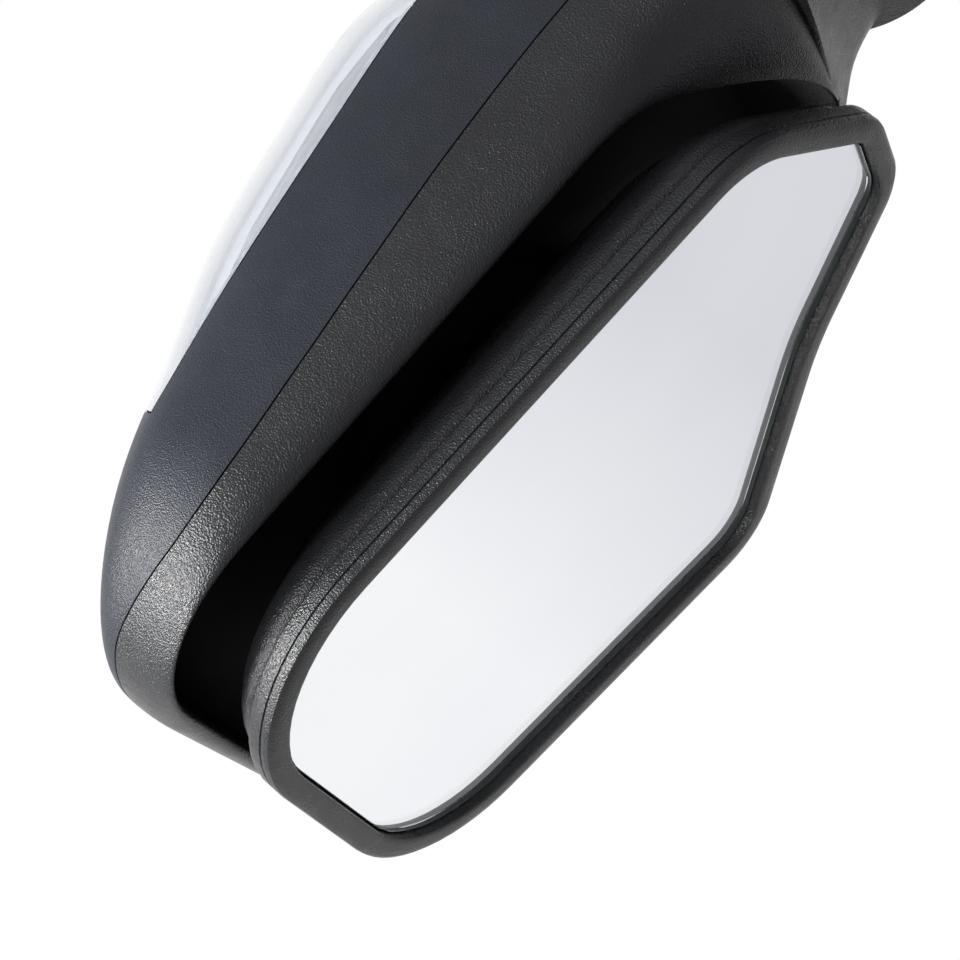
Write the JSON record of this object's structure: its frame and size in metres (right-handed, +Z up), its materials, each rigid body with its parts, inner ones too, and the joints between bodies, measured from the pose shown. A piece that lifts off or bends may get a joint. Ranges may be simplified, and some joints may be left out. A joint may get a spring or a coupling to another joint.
{
  "type": "car door mirror",
  "caption": "Right-hand car door mirror: folding head on a door foot, power-tilted glass in a deep framed holder, clear side turn-signal lens.",
  "frame": {"origin": "centre of the foot's door face (outer face of the rubber gasket)", "axes": "+X outboard from the door, +Y towards the front of the car, +Z up"},
  "size_m": [0.295, 0.1046, 0.1681],
  "materials": {
    "black_grain": "moulded black plastic with a fine leather grain",
    "satin_black": "smooth satin black plastic cap",
    "clear_lens": "clear moulded lens",
    "reflector": "bright metallised plastic",
    "circuit_board": "green circuit board",
    "mirror_glass": "silvered glass",
    "heater": "printed heater film",
    "grey_plastic": "near-black glass-filled plastic",
    "white_plastic": "white acetal",
    "steel": "bright steel",
    "brass": "brass",
    "cast_alloy": "die-cast alloy",
    "rubber": "black rubber"
  },
  "bodies": {
    "foot": {"door_gasket": "rubber", "foot_bracket": "cast_alloy", "foot_cover": "black_grain", "cable_grommet": "rubber", "door_stud_1": "steel", "door_stud_2": "steel", "door_stud_3": "steel", "pivot_post": "steel", "thrust_washer": "brass", "fold_spring": "steel", "spring_retainer": "steel", "lock_ring": "steel"},
    "head": {"head_frame": "grey_plastic", "inner_panel": "grey_plastic", "bezel": "black_grain", "lower_cover": "black_grain", "upper_cap": "satin_black", "signal_lens": "clear_lens", "lamp_housing": "reflector", "led_board": "circuit_board", "lamp_optic": "clear_lens", "bezel_screw_1": "steel", "bezel_screw_2": "steel", "bezel_screw_3": "steel", "actuator_base": "grey_plastic", "actuator_cover": "grey_plastic", "actuator_screw_1": "steel", "actuator_screw_2": "steel", "actuator_screw_3": "steel", "motor_vertical": "steel", "motor_horizontal": "steel"},
    "gimbal": {"gimbal_ring": "white_plastic"},
    "holder": {"backing_plate": "grey_plastic", "glass_holder": "black_grain", "heater_pad": "heater", "mirror_glass": "mirror_glass"},
    "jack_v": {"jackscrew_vertical": "white_plastic"},
    "jack_h": {"jackscrew_horizontal": "white_plastic"},
    "wheel_v": {"wheel_vertical": "white_plastic"},
    "wheel_h": {"wheel_horizontal": "white_plastic"},
    "worm_v": {"worm_vertical": "white_plastic"},
    "worm_h": {"worm_horizontal": "white_plastic"}
  },
  "joints": [
    {"name": "fold", "type": "hinge", "parent": "foot", "child": "head", "pos_m": [0.042, 0, 0], "axis": [0, 0, 1], "range_deg": [-65, 55]},
    {"name": "tilt_horizontal", "type": "hinge", "parent": "head", "child": "gimbal", "pos_m": [0.176, -0.024, 0.05], "axis": [0, 0, 1], "range_deg": [-5, 4.5]},
    {"name": "tilt_vertical", "type": "hinge", "parent": "gimbal", "child": "holder", "pos_m": [0.176, -0.024, 0.05], "axis": [1, 0, 0], "range_deg": [-7, 4]},
    {"name": "jack_vertical", "type": "slide", "parent": "head", "child": "jack_v", "axis": [0, 1, 0], "range_m": [-0.0032, 0.0019]},
    {"name": "jack_horizontal", "type": "slide", "parent": "head", "child": "jack_h", "axis": [0, 1, 0], "range_m": [-0.0024, 0.0021]},
    {"name": "wheel_vertical_spin", "type": "hinge", "parent": "head", "child": "wheel_v", "pos_m": [0.176, -0.00375, 0.025], "axis": [0, 1, 0], "range_deg": [-372, 214]},
    {"name": "wheel_horizontal_spin", "type": "hinge", "parent": "head", "child": "wheel_h", "pos_m": [0.201, -0.00375, 0.05], "axis": [0, 1, 0], "range_deg": [-268, 240]},
    {"name": "worm_vertical_spin", "type": "hinge", "parent": "head", "child": "worm_v", "pos_m": [0.176, -0.00375, 0.03685], "axis": [1, 0, 0], "range_deg": [-8900, 5100]},
    {"name": "worm_horizontal_spin", "type": "hinge", "parent": "head", "child": "worm_h", "pos_m": [0.18915, -0.00375, 0.05], "axis": [0, 0, 1], "range_deg": [-6400, 5750]}
  ],
  "couplings": [
    {"joint": "jack_vertical", "follows": "tilt_vertical", "m_per_rad": 0.025},
    {"joint": "jack_horizontal", "follows": "tilt_horizontal", "m_per_rad": 0.025},
    {"joint": "wheel_vertical_spin", "follows": "tilt_vertical", "ratio": 52.36},
    {"joint": "wheel_horizontal_spin", "follows": "tilt_horizontal", "ratio": 52.36},
    {"joint": "worm_vertical_spin", "follows": "tilt_vertical", "ratio": 1256.6},
    {"joint": "worm_horizontal_spin", "follows": "tilt_horizontal", "ratio": 1256.6}
  ]
}
